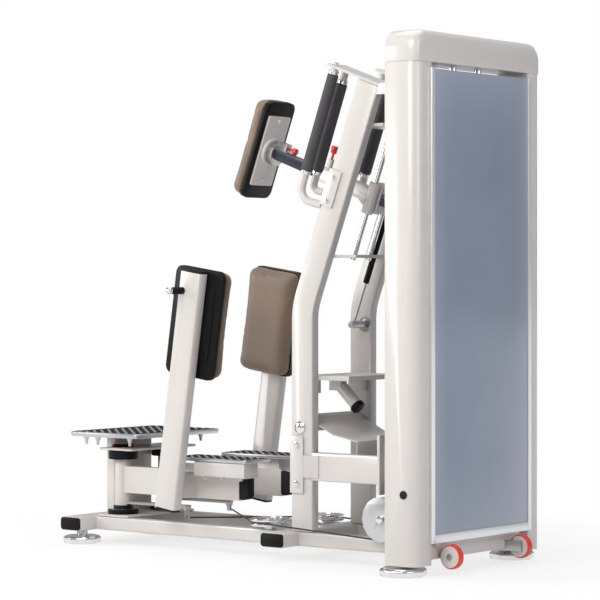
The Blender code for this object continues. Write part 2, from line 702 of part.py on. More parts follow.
# Columns, their beams and the plates between them
def columns():
    half = TUBE_DEEP / 2
    top_x = column_centre(COLUMN_TOP)
    slope = math.tan(COLUMN_TILT)
    inner = RAIL_INNER - GAP
    for name, side in SIDES:
        line = bend([(COLUMN_X, 0, RAIL_HIGH + GAP), (COLUMN_X, 0, COLUMN_BEND_Z), (top_x, 0, COLUMN_TOP)],
                    0.25, 5)
        front, rear = [], []
        for i, point in enumerate(line):
            if i < 2:
                out = Vector((1, 0, 0))
            elif i >= len(line) - 2:
                out = OUT_COLUMN
            else:
                tangent = (line[i + 1] - line[i - 1]).normalized()
                out = Vector((tangent.z, 0, -tangent.x))
            front.append(point + out * half)
            rear.append(point - out * half)
        column = sheet("column_frame", "frame_white", [(p.x, p.z) for p in rear + list(reversed(front))],
                       RAIL_INNER, RAIL_OUTER, side)
        bevel = column.modifiers.new("corners", 'BEVEL')
        bevel.width = 0.008
        bevel.segments = 2
        bevel.limit_method = 'ANGLE'
        bevel.angle_limit = math.radians(60)

        block("mid_beams", "frame_white", (COLUMN_X + half + GAP, RAIL_INNER, BEAM_MID_LOW),
              (TOWER_REAR - GAP, RAIL_OUTER + 0.003, BEAM_MID_HIGH), 0.006, "x", side=side)
        block("mid_beams", "frame_white", (0.978, RAIL_OUTER + GAP, 0.235),
              (1.034, RAIL_OUTER + 0.008, 0.432),
              side=side)
        block("mid_beams", "frame_white", (1.030, RAIL_OUTER + 0.001, 0.290),
              (1.100, RAIL_OUTER + 0.007, 0.367),
              side=side)
        block("mid_beams", "frame_white", (1.376, RAIL_OUTER - 0.003, 0.250),
              (1.386, RAIL_OUTER + 0.040, 0.451),
              side=side)
        way = (0, side, 0)
        for z in (0.403, 0.269):
            bolt("mid_beams", "frame_white", 0.010, (1.008, side * (RAIL_OUTER + 0.006), z), way, 0.008)
        turned("column_frame", "frame_white",
               [(0, 0), (0.022, 0), (0.022, 0.010), (0.012, 0.016), (0, 0.017)],
               (1.018, side * (RAIL_OUTER - 0.004), 0.462), way, 16)
        reach = TOWER_REAR + 0.006
        low, high = 1.602, 1.640
        edge_low = column_centre(low) + half / math.cos(COLUMN_TILT) + GAP
        edge_high = column_centre(high) + half / math.cos(COLUMN_TILT) + GAP
        sheet("tower_frame", "frame_white", [(edge_low, low), (reach, low), (reach, high), (edge_high, high)],
              RAIL_INNER, RAIL_OUTER, side)
    block("mid_beams", "frame_white", (1.470, -RAIL_INNER - 0.006, 0.290), (1.500, RAIL_INNER + 0.006, 0.367))
    deep = RAIL_INNER + 0.003
    block("column_frame", "frame_white", (0.990, -deep, 0.626), (1.200, deep, 0.642))
    for side in (-1, 1):
        block("column_frame", "frame_white", (0.993, 0.118, 0.580), (1.052, deep + 0.001, 0.630), side=side)
    block("column_frame", "frame_white", (1.010, -0.016, 0.585), (1.064, 0.016, 0.630))
    stop_way = Vector((0.72, 0, -0.69)).normalized()
    stop_at = Vector((1.055, 0, 0.596))
    turned("column_frame", "frame_white", rod_profile(0.0225, 0.088), stop_at, stop_way, 16)
    turned("column_frame", "frame_white", rod_profile(0.026, 0.020, 0.004), stop_at + stop_way * 0.085,
           stop_way, 16)

    # Arched cover over the cable guides, a bent sheet between the columns
    line = [(0.953, 0.440)]
    for a in range(180, 29, -15):
        line.append((1.003 + 0.050 * math.cos(math.radians(a)), 0.456 + 0.050 * math.sin(math.radians(a))))
    line += [(1.130, 0.440), (1.233, 0.420), (1.233, 0.350)]
    outer = [Vector((x, 0, z)) for x, z in line]
    inside = []
    for i, point in enumerate(outer):
        tangent = (outer[min(i + 1, len(outer) - 1)] - outer[max(i - 1, 0)]).normalized()
        inside.append(point + Vector((tangent.z, 0, -tangent.x)) * 0.004)
    sheet("arch_cover", "frame_white", [(p.x, p.z) for p in outer + list(reversed(inside))], -inner, inner)


# Guide plates and rods, with the gas strut beside them
def guides():
    inner = RAIL_INNER - GAP
    for x0, x1, z in ((1.095, 1.229, GUIDE_LOW_Z), (1.215, 1.345, GUIDE_HIGH_Z)):
        block("column_frame", "frame_white", (x0, -inner - 0.003, z - 0.010), (x1, inner + 0.003, z))
    cutters = []
    low = Vector((guide_x(GUIDE_LOW_Z - 0.016), 0, GUIDE_LOW_Z - 0.016))
    high = Vector((guide_x(GUIDE_HIGH_Z + 0.006), 0, GUIDE_HIGH_Z + 0.006))
    run = (high - low).length
    for name, side in SIDES:
        across = Vector((0, side * GUIDE_ROD_Y, 0))
        turned(name + "_guide_rod", "chrome", rod_profile(GUIDE_ROD_RADIUS, run), low + across, UP_COLUMN, 12)
        cutter = bmesh.new()
        add_turned(cutter, rod_profile(GUIDE_ROD_RADIUS + GAP, run + 0.060), low + across - UP_COLUMN * 0.030,
                   UP_COLUMN, 12)
        cutters.append(cutter)
    cutter = bmesh.new()
    add_turned(cutter, rod_profile(STRUT_RADIUS + 0.005, 0.080), strut_point(0.220), UP_COLUMN, 12)
    cutters.append(cutter)
    cut(bpy.data.objects["column_frame"], cutters)

    foot = Vector(STRUT_FOOT)
    turned("strut_rod", "steel",
           [(0, 0), (0.026, 0), (0.024, 0.010), (0.013, 0.020), (0.013, inner - foot.y + 0.014),
                                  (0, inner - foot.y + 0.014)], (foot.x, inner, foot.z), (0, -1, 0), 20)
    turned("strut_rod", "steel", rod_profile(STRUT_ROD_RADIUS, 0.330), foot + UP_COLUMN * 0.003,
           UP_COLUMN, 12)
    cylinder = [(0, STRUT_TOP), (STRUT_RADIUS - 0.002, STRUT_TOP), (STRUT_RADIUS, STRUT_TOP - 0.002),
                (STRUT_RADIUS, STRUT_LOW + 0.002), (STRUT_RADIUS - 0.002, STRUT_LOW),
                (STRUT_ROD_RADIUS + TURN_GAP, STRUT_LOW), (STRUT_ROD_RADIUS + TURN_GAP, STRUT_TOP - 0.012),
                (0, STRUT_TOP - 0.012)]
    turned("strut_cylinder", "black_plastic", cylinder, foot, UP_COLUMN, 12)


# Carriage, chest arm and chest pad
def chest():
    middle = carriage_centre()
    half = CARRIAGE_LONG / 2
    clear = GUIDE_ROD_RADIUS + TURN_GAP
    outer = ARM_SIDE + 0.012
    for side in (-1, 1):
        turned("carriage_block", "frame_white", ring_profile(clear, 0.020, 0, CARRIAGE_LONG),
               middle - UP_COLUMN * half + Vector((0, side * GUIDE_ROD_Y, 0)), UP_COLUMN, 20)
    web = GUIDE_ROD_Y - 0.020 + 0.004
    block_name = "carriage_block"
    turn = slanted(middle - OUT_COLUMN * RECEIVER_LONG, True)
    loft(block_name, "frame_white", turn, [(rounded(outer, outer, 0.005), 0.0),
                                           (rounded(outer, outer, 0.005), RECEIVER_LONG - 0.012)])
    cutter = bmesh.new()
    add_lofted(cutter, slanted(middle - OUT_COLUMN * (RECEIVER_LONG + 0.010), True),
               [(rounded(ARM_SIDE + 2 * TURN_GAP, ARM_SIDE + 2 * TURN_GAP, 0.003), 0.0),
                (rounded(ARM_SIDE + 2 * TURN_GAP, ARM_SIDE + 2 * TURN_GAP, 0.003), RECEIVER_LONG + 0.080)])
    loft(block_name, "frame_white", slanted(middle), [(rounded(0.046, 2 * web, 0.003), -half + 0.004),
                                                      (rounded(0.046, 2 * web, 0.003), half - 0.004)])
    lug = strut_point(STRUT_TOP + GAP) - Vector((0, 0.005, 0))
    loft(block_name, "frame_white", slanted(lug),
         [(rounded(0.022, 0.035, 0.0), 0.0), (rounded(0.022, 0.035, 0.0), 0.020)])
    lock = middle - OUT_COLUMN * (RECEIVER_LONG - 0.030) + UP_COLUMN * (outer / 2)
    turned(block_name, "frame_white", rod_profile(0.011, 0.039), lock - UP_COLUMN * 0.003, UP_COLUMN, 12)
    cut(bpy.data.objects[block_name], [cutter])

    start = swivel_centre()
    reach = (middle - start).length
    loft("chest_arm", "bar_blue_grey", slanted(start - OUT_COLUMN * 0.004, True),
         [(rounded(ARM_SIDE, ARM_SIDE, 0.004), 0.0), (rounded(ARM_SIDE, ARM_SIDE, 0.004), reach + 0.050)])
    turned("chest_arm", "bar_blue_grey", rod_profile(0.044, 0.026, 0.002),
           start + OUT_COLUMN * (-0.016 - GAP), OUT_COLUMN, 24)
    turned("swivel_plate", "frame_white", rod_profile(0.0525, 0.014, 0.002),
           start - OUT_COLUMN * (0.031 + GAP),
           OUT_COLUMN, 24)
    back = start - OUT_COLUMN * 0.029
    loft("swivel_plate", "frame_white", slanted(back, True),
         [(rounded(0.260, 0.120, 0.006), 0.0), (rounded(0.260, 0.120, 0.006), -0.008)])
    for way in (-1, 1):
        bolt("swivel_plate", "frame_white", 0.009, back + UP_COLUMN * (way * 0.110) - OUT_COLUMN * 0.002,
             OUT_COLUMN, 0.008)
    board = back - OUT_COLUMN * (0.008 + GAP)
    loft("chest_board", "black_plastic", slanted(board - OUT_COLUMN * CHEST_BOARD, True),
         [(rounded(CHEST_LONG - 0.006, CHEST_WIDE - 0.006, 0.025, 4), 0.0),
          (rounded(CHEST_LONG, CHEST_WIDE, 0.028, 4), 0.003),
          (rounded(CHEST_LONG, CHEST_WIDE, 0.028, 4), CHEST_BOARD)])
    turn = slanted(board - OUT_COLUMN * (CHEST_BOARD + GAP), True) @ Matrix.Rotation(math.pi, 4, 'X')
    loft("chest_cushion", "tan_leather", turn,
         cushion_rings(CHEST_LONG - 0.004, CHEST_WIDE - 0.004, CHEST_FOAM, 0.032))

    knob = [(0, 0), (0.005, 0), (0.005, 0.020), (0.011, 0.024), (0.014, 0.034), (0.014, 0.044),
            (0.011, 0.048),
            (0, 0.048)]
    turned("chest_lock_pin", "wheel_red", knob, lock + UP_COLUMN * (0.036 + GAP), UP_COLUMN, 12)
    pin = start + OUT_COLUMN * 0.028 + UP_COLUMN * (ARM_SIDE / 2 - 0.003)
    loft("chest_arm", "bar_blue_grey", slanted(pin),
         [(rounded(0.036, 0.030, 0.0), 0.0), (rounded(0.036, 0.030, 0.0), 0.032)])
    turned("swivel_pin", "wheel_red", [(r * 0.9, z * 0.8) for r, z in knob],
           start + OUT_COLUMN * (0.046 + GAP) + UP_COLUMN * (ARM_SIDE / 2 + 0.015), OUT_COLUMN, 12)


# Hand grips
def handles():
    low = Vector((GRIP_LOW[0], 0, GRIP_LOW[1]))
    high = Vector((GRIP_HIGH[0], 0, GRIP_HIGH[1]))
    way = (high - low).normalized()
    length = (high - low).length
    plate_at = Vector((column_centre(COLUMN_TOP), 0, COLUMN_TOP)) + UP_COLUMN * GAP
    to_plate = (plate_at - low).dot(UP_COLUMN) / way.dot(UP_COLUMN) + 0.004
    top = low + way * to_plate
    for name, side in SIDES:
        handle = name + "_handle"
        outer = Vector((0, side * GRIP_OUTER_Y, 0))
        inner = Vector((0, side * GRIP_INNER_Y, 0))
        end_z = 1.232
        rear_face = column_centre(end_z) - TUBE_DEEP / 2 / math.cos(COLUMN_TILT)
        shape = bmesh.new()
        add_tube_path(shape, bend([top + outer, low - way * 0.105 + outer,
                                   Vector((rear_face - 0.0056, side * GRIP_OUTER_Y,
                                           end_z))], 0.045), HANDLE_RADIUS, 10)
        place(name + "_handle", shape, "frame_white")
        shape = bmesh.new()
        add_tube_path(shape, bend([top + inner, low - way * 0.070 + inner,
                                   Vector((1.136, side * GRIP_INNER_Y, 1.262)),
                                   Vector((1.136, side * (RAIL_INNER - GAP),
                                           1.262))], 0.022), HANDLE_RADIUS - 0.001, 10)
        place(name + "_handle", shape, "frame_white")
        for which, offset, tube, cut_off in (("outer", outer, HANDLE_RADIUS, 0.0),
                                             ("inner", inner, HANDLE_RADIUS - 0.001, 0.030)):
            turned(name + "_" + which + "_grip", "grip_rubber",
                   ring_profile((tube + GAP) / math.cos(math.radians(15)), GRIP_RADIUS, 0, length - cut_off,
                                0.002),
                   low + offset, way, 12)
        reach = (top - plate_at).dot(OUT_COLUMN)
        corner_a = plate_at + OUT_COLUMN * (reach - 0.024)
        corner_b = plate_at + OUT_COLUMN * (TUBE_DEEP / 2)
        thick = UP_COLUMN * HANDLE_PLATE_THICK
        sheet(name + "_handle", "frame_white",
              [(p.x, p.z) for p in (corner_a, corner_b, corner_b + thick, corner_a + thick)],
              GRIP_INNER_Y - 0.022, RAIL_OUTER, side)
        base = Vector((column_centre(1.262), 0, 1.262)) - OUT_COLUMN * 0.020
        corners = [base - OUT_COLUMN * 0.026 - UP_COLUMN * 0.045,
                   base + OUT_COLUMN * 0.026 - UP_COLUMN * 0.045,
                   base + OUT_COLUMN * 0.026 + UP_COLUMN * 0.085,
                   base - OUT_COLUMN * 0.026 + UP_COLUMN * 0.085]
        sheet("column_frame", "frame_white", [(p.x, p.z) for p in corners], RAIL_OUTER - 0.003,
              RAIL_OUTER + 0.008, side)
        for along in (-0.025, 0.060):
            where = base + UP_COLUMN * along + Vector((0, side * (RAIL_OUTER + 0.005), 0))
            bolt("column_frame", "frame_white", 0.009, where, (0, side, 0), 0.009)
        bolt(handle, "frame_white", 0.009, top + outer + UP_COLUMN * 0.001, UP_COLUMN, 0.014)


# Tower
def tower():
    span = TOWER_HALF - TOWER_SIDE
    for name, side in SIDES:
        outer = side * TOWER_HALF
        corner = 0.036
        outline = [(TOWER_REAR, side * span), (TOWER_REAR, outer)]
        for a in range(0, 91, 18):
            angle = math.radians(a)
            outline.append((TOWER_FRONT - corner + corner * math.sin(angle),
                            outer - side * corner * (1 - math.cos(angle))))
        outline.append((TOWER_FRONT, side * span))
        plan("tower_frame", "frame_white", outline, TOWER_LOW, HOOD_LOW - GAP)
        turned("tower_frame", "frame_white", rod_profile(0.014, 0.008),
               (1.590, outer - side * 0.004, 0.271), (0, side, 0), 12)
        block("shield_trim", "aluminium", (TOWER_FRONT + GAP, SHIELD_HALF + GAP, SILL_HIGH + 0.001),
              (SHIELD_FRONT, SHIELD_HALF + TRIM_WIDE, HOOD_LOW - 0.019), side=side)

    # Hood: a rounded top and flat ends down to the columns, drawn in towards the front
    rise = TOWER_HIGH - HOOD_LOW
    outline = [(-TOWER_HALF, 0.0), (TOWER_HALF, 0.0)]
    for a in range(0, 91, 15):
        angle = math.radians(a)
        outline.append((TOWER_HALF - 0.055 + 0.055 * math.cos(angle), rise - 0.055 + 0.055 * math.sin(angle)))
    for a in range(90, 181, 15):
        angle = math.radians(a)
        outline.append((-TOWER_HALF + 0.055 + 0.055 * math.cos(angle),
                        rise - 0.055 + 0.055 * math.sin(angle)))
    shape = bmesh.new()
    rings = []
    for x, inset in ((TOWER_REAR, 0.004), (TOWER_REAR + 0.005, 0.0), (TOWER_FRONT - 0.030, 0.0),
                     (TOWER_FRONT - 0.012, 0.005), (TOWER_FRONT - 0.004, 0.012), (TOWER_FRONT, 0.024)):
        scale = (TOWER_HALF - inset) / TOWER_HALF
        rings.append([shape.verts.new((x, py * scale, HOOD_LOW + pz * (rise - inset) / rise)) for py,
                      pz in outline])
    for low, high in zip(rings, rings[1:]):
        for i in range(len(low)):
            j = (i + 1) % len(low)
            shape.faces.new((low[i], low[j], high[j], high[i]))
    shape.faces.new(rings[0])
    shape.faces.new(rings[-1])
    place("tower_hood", shape, "frame_white")

    deep = span + 0.006
    rear = TOWER_REAR + 0.001
    block("tower_frame", "frame_white", (rear, -deep, RAIL_LOW), (TOWER_REAR + 0.040, deep, RAIL_HIGH))
    block("tower_frame", "frame_white", (rear, -deep, 1.596), (TOWER_REAR + 0.040, deep, 1.650))
    block("tower_frame", "frame_white", (1.560, -deep, RAIL_LOW + 0.001), (1.615, deep, RAIL_HIGH - 0.001))
    block("tower_frame", "frame_white", (TOWER_REAR + 0.006, -0.250, RAIL_HIGH - 0.003),
          (1.632, 0.250, RAIL_HIGH + 0.008))
    block("shield_trim", "aluminium", (TOWER_FRONT + GAP + 0.0005, -SHIELD_HALF - 0.010, SILL_HIGH),
          (SHIELD_FRONT - 0.001, SHIELD_HALF + 0.010, SHIELD_LOW - GAP))
    block("front_shield", "shield_blue", (TOWER_FRONT + GAP, -SHIELD_HALF, SHIELD_LOW),
          (SHIELD_FRONT - 0.002, SHIELD_HALF, SHIELD_HIGH))


# Weight stack
def weights():
    floor = RAIL_HIGH + 0.008 + GAP
    for name, side in SIDES:
        turned(name + "_weight_rod", "chrome",
               [(0, 0), (0.024, 0), (0.024, STACK_LOW - GAP - floor),
                (STACK_ROD_RADIUS, STACK_LOW - GAP - floor),
                (STACK_ROD_RADIUS, HOOD_LOW - GAP - floor), (0, HOOD_LOW - GAP - floor)],
               (STACK_X, side * STACK_ROD_Y, floor), count=12)

    def plates(name, low, count, last):
        """A pile of plates that rest on low spacers, as one body with open seams."""
        full = rounded(STACK_DEEP, 2 * STACK_HALF, 0.0)
        seam = rounded(STACK_DEEP - 0.012, 2 * STACK_HALF - 0.012, 0.0)
        rings = []
        for i in range(count):
            thick = last if i == count - 1 else PLATE_THICK
            rings += [(full, i * PLATE_PITCH), (full, i * PLATE_PITCH + thick)]
            if i < count - 1:
                rings += [(seam, i * PLATE_PITCH + thick), (seam, (i + 1) * PLATE_PITCH)]
        loft(name, "plate_black", Matrix.Translation((STACK_X, 0, low)), rings)
        return low + (count - 1) * PLATE_PITCH + last

    def bore(name, low, high, holes):
        cutters = []
        for y, radius in holes:
            cutter = bmesh.new()
            add_turned(cutter, rod_profile(radius, high - low + 0.020), (STACK_X, y, low - 0.010), count=12)
            cutters.append(cutter)
        cut(bpy.data.objects[name], cutters)

    rods = ((-STACK_ROD_Y, ROD_HOLE), (STACK_ROD_Y, ROD_HOLE))
    top = plates("resting_plates", STACK_LOW, LOWER_PLATES, PLATE_THICK)
    bore("resting_plates", STACK_LOW, top, rods + ((0.0, STEM_HOLE),))
    low = STACK_LOW + LOWER_PLATES * PLATE_PITCH
    top = plates("lifted_plates", low, UPPER_PLATES + 1, 0.034)
    turned("lifted_plates", "plate_black", rod_profile(STEM_RADIUS, low + 0.004 - STACK_LOW - 0.010),
           (STACK_X, 0, STACK_LOW + 0.010), count=12)
    block("lifted_plates", "plate_black", (STACK_X - 0.019, -CABLE_Y - 0.014, top - 0.004),
          (STACK_X + 0.019, CABLE_Y + 0.014, top + 0.024))
    bore("lifted_plates", low, top + 0.024, rods)
    yoke = top
    pin_z = STACK_LOW + LOWER_PLATES * PLATE_PITCH + PLATE_THICK / 2
    turned("selector_pin", "wheel_red", [(0, 0), (0.011, 0), (0.013, 0.003), (0.013, 0.020), (0.009, 0.024),
                                         (0, 0.024)],
           (STACK_X - STACK_DEEP / 2 - 0.0245, 0, pin_z), (1, 0, 0), 16)
    return yoke + 0.024


def groove_profile(radius, thick, bore):
    """A cable pulley's half section, with a groove round its rim."""
    lip = radius + 0.005
    floor = radius - 0.0036
    return [(bore, 0), (lip, 0), (lip, 0.0012), (floor, thick / 2 - 0.0036),
            (floor, thick / 2 + 0.0036), (lip, thick - 0.0012), (lip, thick), (bore, thick)]


def pulleys(yoke_top):
    for name, side in SIDES:
        z = PULLEY_Z[name]
        y = side * PULLEY_Y
        floor = RAIL_HIGH - 0.004
        low = z - PULLEY_THICK / 2
        top = low - floor + PULLEY_THICK
        turned("base_frame", "frame_white",
               [(0, 0), (0.022, 0), (0.022, low - floor - TURN_GAP), (0.007, low - floor - TURN_GAP),
                                         (0.007, top + TURN_GAP), (0.014, top + TURN_GAP),
                                         (0.014, top + 0.006), (0, top + 0.006)],
               (PULLEY_X, y, floor))
        turned(name + "_guide_pulley", "aluminium",
               groove_profile(PULLEY_RADIUS, PULLEY_THICK, 0.007 + TURN_GAP),
               (PULLEY_X, y, low), count=20)
        way = (0, side, 0)
        turned(name + "_base_pulley", "aluminium",
               groove_profile(BASE_PULLEY_RADIUS, 0.018, 0.007 + TURN_GAP),
               (BASE_PULLEY_X, side * (CABLE_Y - 0.009), BASE_PULLEY_Z), way, 16)
        block("base_frame", "frame_white", (BASE_PULLEY_X - 0.028, RAIL_OUTER - 0.004, 0.060),
              (BASE_PULLEY_X + 0.028, RAIL_OUTER + 0.006, BASE_PULLEY_Z + 0.026), side=side)
        start = side * (RAIL_OUTER + 0.003)
        near = CABLE_Y - 0.009 - RAIL_OUTER - 0.003 - TURN_GAP
        turned("base_frame", "frame_white",
               [(0, 0), (0.014, 0), (0.014, near), (0.007, near), (0.007, near + 0.018 + 2 * TURN_GAP),
                                         (0.013, near + 0.018 + 2 * TURN_GAP), (0.013, near + 0.026),
                                         (0, near + 0.026)],
               (BASE_PULLEY_X, start, BASE_PULLEY_Z), way)
        top_x = (STACK_X + CABLE_UP_X) / 2
        radius = (STACK_X - CABLE_UP_X) / 2
        turned(name + "_top_pulley", "aluminium", groove_profile(radius, 0.018, 0.007 + TURN_GAP),
               (top_x, side * (CABLE_Y - 0.009), TOP_PULLEY_Z), way, 16)
        wall = TOWER_HALF - TOWER_SIDE
        reach = wall - CABLE_Y - 0.009 - TURN_GAP
        block("tower_frame", "frame_white", (top_x - 0.022, wall - 0.006, TOP_PULLEY_Z - 0.030),
              (top_x + 0.034, wall + 0.004, TOP_PULLEY_Z + 0.030), side=side)
        turned("tower_frame", "frame_white",
               [(0, 0), (0.014, 0), (0.014, reach), (0.007, reach), (0.007, reach + 0.0192),
                                              (0.013, reach + 0.0192), (0.013, reach + 0.026),
                                              (0, reach + 0.026)],
               (top_x, side * wall, TOP_PULLEY_Z), (0, -side, 0))

        # One cable from the other side's lever, round the guide pulley, along the rail and over to the stack
        tip = Vector((PIVOT_X + LEVER_REACH + 0.013, -side * PIVOT_Y, z))
        hub = Vector((PULLEY_X, y, z))
        away = hub - tip
        lean = math.atan2(away.y * side, away.x)
        turn_on = lean + math.radians(90) + math.asin(PULLEY_RADIUS / away.length)
        path = [tip]
        for i in range(5):
            a = turn_on + (math.radians(90) - turn_on) * i / 4
            path.append(hub + Vector((math.cos(a), side * math.sin(a), 0)) * PULLEY_RADIUS)
        for i in range(7):
            a = math.radians(-90 + 15 * i)
            path.append((BASE_PULLEY_X + BASE_PULLEY_RADIUS * math.cos(a), side * CABLE_Y,
                         BASE_PULLEY_Z + BASE_PULLEY_RADIUS * math.sin(a)))
        for i in range(9):
            a = math.radians(180 - 22.5 * i)
            path.append((top_x + radius * math.cos(a), side * CABLE_Y, TOP_PULLEY_Z + radius * math.sin(a)))
        path.append((STACK_X, side * CABLE_Y, yoke_top + GAP))
        shape = bmesh.new()
        add_tube_path(shape, path, CABLE_RADIUS, 8)
        place(("near" if side > 0 else "far") + "_cable", shape, "black_rubber")


def wheels():
    for name, side in SIDES:
        low = WHEEL_Y - WHEEL_WIDE / 2
        block("tower_frame", "frame_white", (1.611, low - 0.010, 0.044),
              (WHEEL_X + 0.016, low - 0.004, 0.081), side=side)
        turned("tower_frame", "frame_white",
               [(0, 0), (0.009, 0), (0.009, 0.0045), (0.006, 0.0045), (0.006, 0.0343), (0.010, 0.0343),
                (0.010, 0.0385),
                (0, 0.0385)], (WHEEL_X, side * (low - 0.0055), WHEEL_Z), (0, side, 0), 12)
        turned(name + "_wheel", "wheel_red",
               ring_profile(0.006 + TURN_GAP, WHEEL_RADIUS, 0, WHEEL_WIDE, 0.005),
               (WHEEL_X, side * WHEEL_Y - WHEEL_WIDE / 2, WHEEL_Z), (0, 1, 0), 18)


base_frame()
pivots()
swing_arms()
thigh_pads()
columns()
guides()
chest()
handles()
tower()
pulleys(weights())
wheels()
for thing in ORIGINS:
    move_origin(thing, ORIGINS[thing])
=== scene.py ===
"""Standing hip abductor machine: the finish of every piece, its cushions, treads and studio."""
import json
import math
import bmesh
import bpy
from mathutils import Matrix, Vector


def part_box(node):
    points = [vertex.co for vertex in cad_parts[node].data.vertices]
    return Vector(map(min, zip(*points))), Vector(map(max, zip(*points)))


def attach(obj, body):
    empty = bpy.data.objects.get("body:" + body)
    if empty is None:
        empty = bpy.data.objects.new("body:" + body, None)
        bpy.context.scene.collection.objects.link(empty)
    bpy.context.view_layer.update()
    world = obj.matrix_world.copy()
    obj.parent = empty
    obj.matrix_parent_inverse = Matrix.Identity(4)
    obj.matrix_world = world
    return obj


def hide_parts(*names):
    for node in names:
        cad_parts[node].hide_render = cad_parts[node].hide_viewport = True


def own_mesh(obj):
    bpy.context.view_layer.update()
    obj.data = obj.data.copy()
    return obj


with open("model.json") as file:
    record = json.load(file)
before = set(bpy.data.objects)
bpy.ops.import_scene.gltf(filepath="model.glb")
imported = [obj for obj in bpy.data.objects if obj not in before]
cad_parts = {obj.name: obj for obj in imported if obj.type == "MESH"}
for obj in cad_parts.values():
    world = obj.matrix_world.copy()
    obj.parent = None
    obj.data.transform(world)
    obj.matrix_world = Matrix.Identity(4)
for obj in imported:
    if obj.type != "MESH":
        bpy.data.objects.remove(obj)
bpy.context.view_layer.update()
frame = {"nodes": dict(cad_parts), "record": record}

# The machine's own measures, in metres. The weight tower stands at +X, the camera side is -Y
CENTRE_X = 0.8245
COLUMN_TILT = math.radians(20.4)
POST_TILT = math.radians(8.4)
UP_COLUMN = Vector((math.sin(COLUMN_TILT), 0, math.cos(COLUMN_TILT)))
OUT_COLUMN = Vector((math.cos(COLUMN_TILT), 0, -math.sin(COLUMN_TILT)))
UP_POST = Vector((math.sin(POST_TILT), 0, math.cos(POST_TILT)))
STEP_TOP = 0.412
TREAD_TOP = 0.338
PIVOT_AXLE = (0.130, 0.120)      # X and distance from the middle, on the floor plan
GUIDE_AXLE = (0.857, 0.158)
BASE_AXLE = (1.390, 0.168)       # X and height, seen from the side
COLUMN_BOSS = (1.018, 0.462)
PAD_PIN = (0.560, 0.935)
WHEEL_AXLE = (1.666, 0.060)
WHEEL_Y = 0.208
STOP_FOOT = Vector((1.055, 0, 0.596))
STOP_WAY = Vector((0.72, 0, -0.69)).normalized()
POST_TOP = (0.596, 1.000)
SWIVEL = Vector((0.762, 0, 1.4247))
SIDES = (("near", -1), ("far", 1))

record = frame["record"]
BODY = {node: body for body, nodes in record["behaviour"]["bodies"].items() for node in nodes}
SLOT = {part["node"]: part["material_slot"] for part in record["subparts"]}


# Materials
def surface(name, colour, rough, metal=0.0, grain=900.0, bump=0.1, mottle=0.06, coat=0.0, wear=0.08,
            shine=0.5):
    """A material with slow colour change, uneven gloss and a fine raised grain."""
    material = bpy.data.materials.new(name)
    material.use_nodes = True
    tree = material.node_tree
    nodes, links = tree.nodes, tree.links
    shader = nodes["Principled BSDF"]
    shader.inputs["Metallic"].default_value = metal
    shader.inputs["Coat Weight"].default_value = coat
    shader.inputs["Specular IOR Level"].default_value = shine
    shader.inputs["Coat Roughness"].default_value = 0.12
    place = nodes.new("ShaderNodeTexCoord")

    slow = nodes.new("ShaderNodeTexNoise")
    slow.inputs["Scale"].default_value = 5.0
    slow.inputs["Detail"].default_value = 6.0
    links.new(place.outputs["Object"], slow.inputs["Vector"])
    shade = nodes.new("ShaderNodeValToRGB")
    shade.color_ramp.elements[0].position = 0.3
    shade.color_ramp.elements[1].position = 0.7
    shade.color_ramp.elements[0].color = (*[c * (1 - mottle) for c in colour], 1)
    shade.color_ramp.elements[1].color = (*[min(1.0, c * (1 + mottle)) for c in colour], 1)
    links.new(slow.outputs["Fac"], shade.inputs["Fac"])
    links.new(shade.outputs["Color"], shader.inputs["Base Color"])

    cloudy = nodes.new("ShaderNodeTexNoise")
    cloudy.inputs["Scale"].default_value = 38.0
    cloudy.inputs["Detail"].default_value = 4.0
    links.new(place.outputs["Object"], cloudy.inputs["Vector"])
    gloss = nodes.new("ShaderNodeMapRange")
    gloss.inputs["To Min"].default_value = max(0.02, rough - wear)
    gloss.inputs["To Max"].default_value = min(1.0, rough + wear)
    links.new(cloudy.outputs["Fac"], gloss.inputs["Value"])
    links.new(gloss.outputs["Result"], shader.inputs["Roughness"])

    fine = nodes.new("ShaderNodeTexNoise")
    fine.inputs["Scale"].default_value = grain
    fine.inputs["Detail"].default_value = 2.0
    links.new(place.outputs["Object"], fine.inputs["Vector"])
    relief = nodes.new("ShaderNodeBump")
    relief.inputs["Strength"].default_value = bump
    relief.inputs["Distance"].default_value = 0.0005
    links.new(fine.outputs["Fac"], relief.inputs["Height"])
    links.new(relief.outputs["Normal"], shader.inputs["Normal"])
    return material


def brushed(name, colour, rough, stretch):
    """Metal with fine lines drawn along one direction."""
    material = surface(name, colour, rough, metal=1.0, bump=0.12, mottle=0.05)
    nodes, links = material.node_tree.nodes, material.node_tree.links
    place = next(n for n in nodes if n.type == 'TEX_COORD')
    mapping = nodes.new("ShaderNodeMapping")
    mapping.inputs["Scale"].default_value = stretch
    links.new(place.outputs["Object"], mapping.inputs["Vector"])
    fine = next(n for n in nodes if n.type == 'TEX_NOISE' and n.inputs["Scale"].default_value > 500)
    links.new(mapping.outputs["Vector"], fine.inputs["Vector"])
    return material


